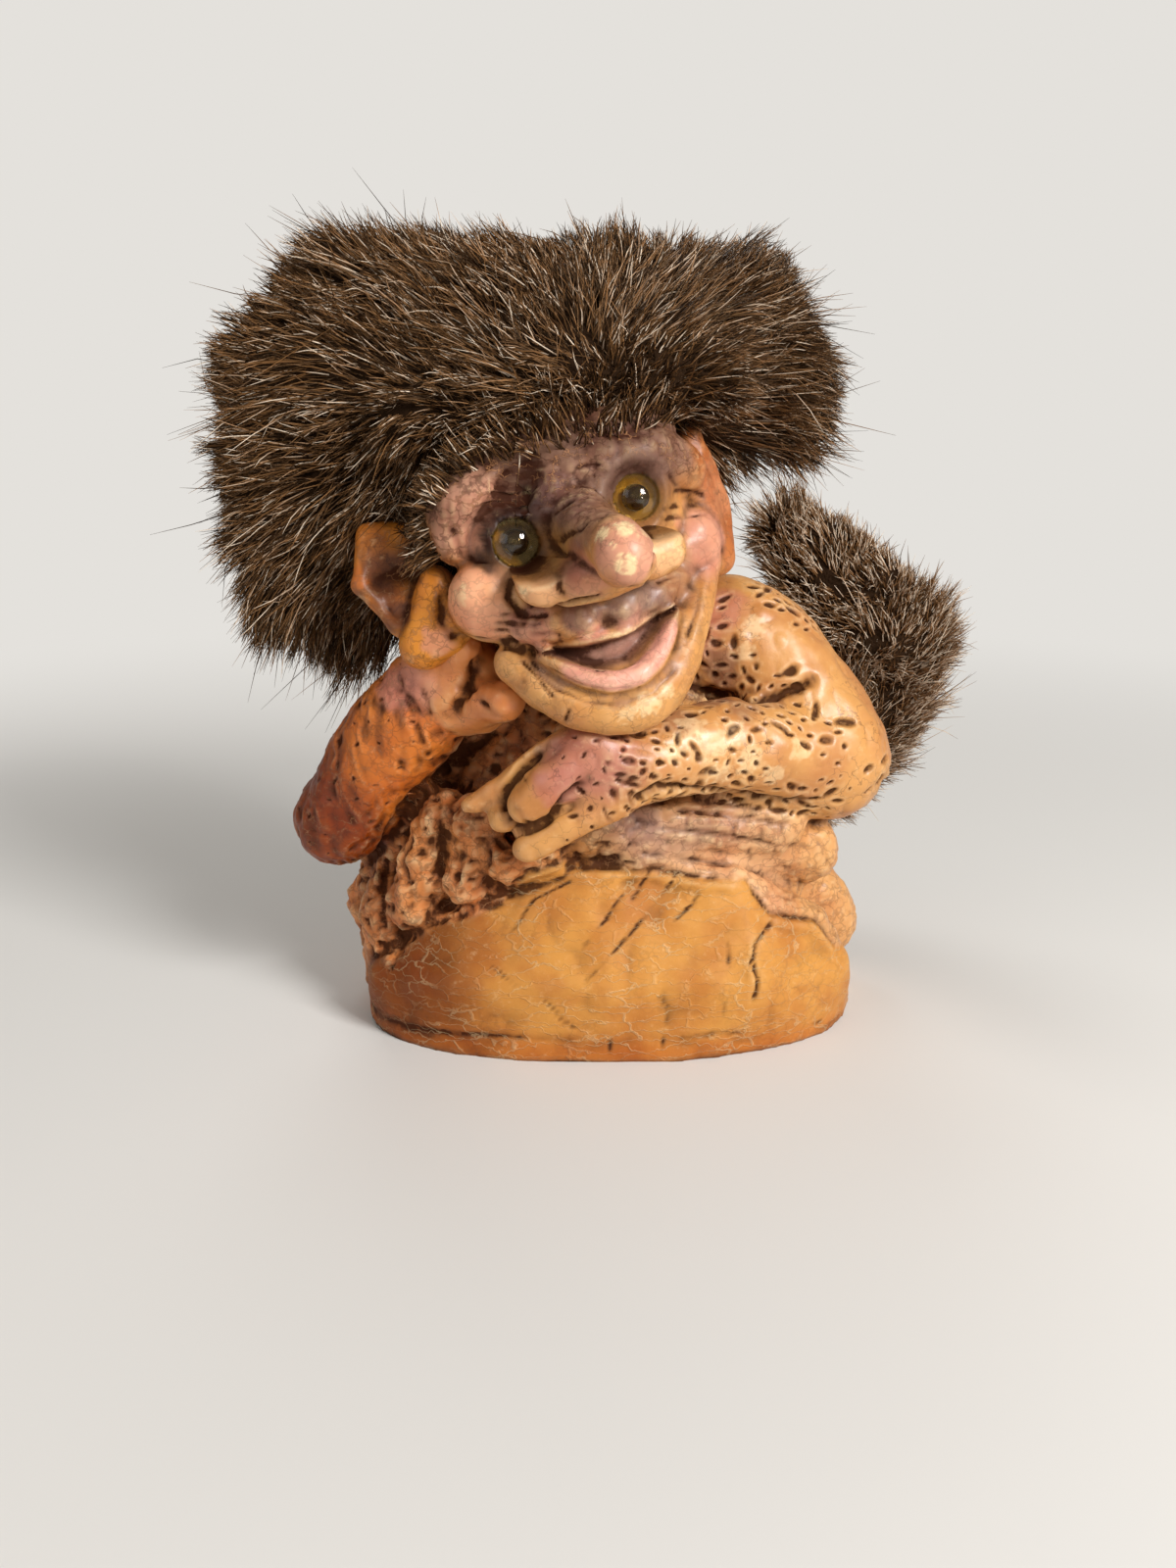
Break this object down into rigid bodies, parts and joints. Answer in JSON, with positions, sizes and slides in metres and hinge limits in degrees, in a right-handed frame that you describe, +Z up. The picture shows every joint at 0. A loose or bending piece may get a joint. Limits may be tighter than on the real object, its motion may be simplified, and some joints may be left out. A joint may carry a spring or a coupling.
{
  "type": "troll figurine",
  "caption": "Hand-painted cast troll leaning on a rock, with amber glass eyes, a wild fur wig and a fur tail that swings on a peg.",
  "frame": {"origin": "on the underside of the rock, below the middle of the figure", "axes": "+X to the right as seen from the front, +Y away from the viewer, +Z up"},
  "size_m": [0.1134, 0.0866, 0.1114],
  "materials": {
    "painted_casting": "hand-painted cast latex compound, ochre with brown washes, crackled satin varnish",
    "eye_glass": "clear amber glass, polished",
    "pupil": "black, glossy",
    "wire": "drawn wire",
    "fur_cloth": "knitted backing cloth",
    "fur": "long shiny pile, dark brown with golden brown tips",
    "peg_wood": "turned hardwood, bare"
  },
  "bodies": {
    "figure": {"body_casting": "painted_casting", "head_casting": "painted_casting", "left_eye_glass": "eye_glass", "right_eye_glass": "eye_glass", "left_eye_pupil": "pupil", "right_eye_pupil": "pupil", "left_eye_wire": "wire", "right_eye_wire": "wire", "wig_backing": "fur_cloth", "wig_pile": "fur", "tail_socket": "peg_wood"},
    "tail": {"tail_peg": "peg_wood", "tail_wire": "wire", "tail_backing": "fur_cloth", "tail_pile": "fur"}
  },
  "joints": [
    {"name": "tail_swing", "type": "hinge", "parent": "figure", "child": "tail", "pos_m": [0.014, 0.02, 0.0222], "axis": [0, 1, 0], "range_deg": [-25, 20]}
  ]
}
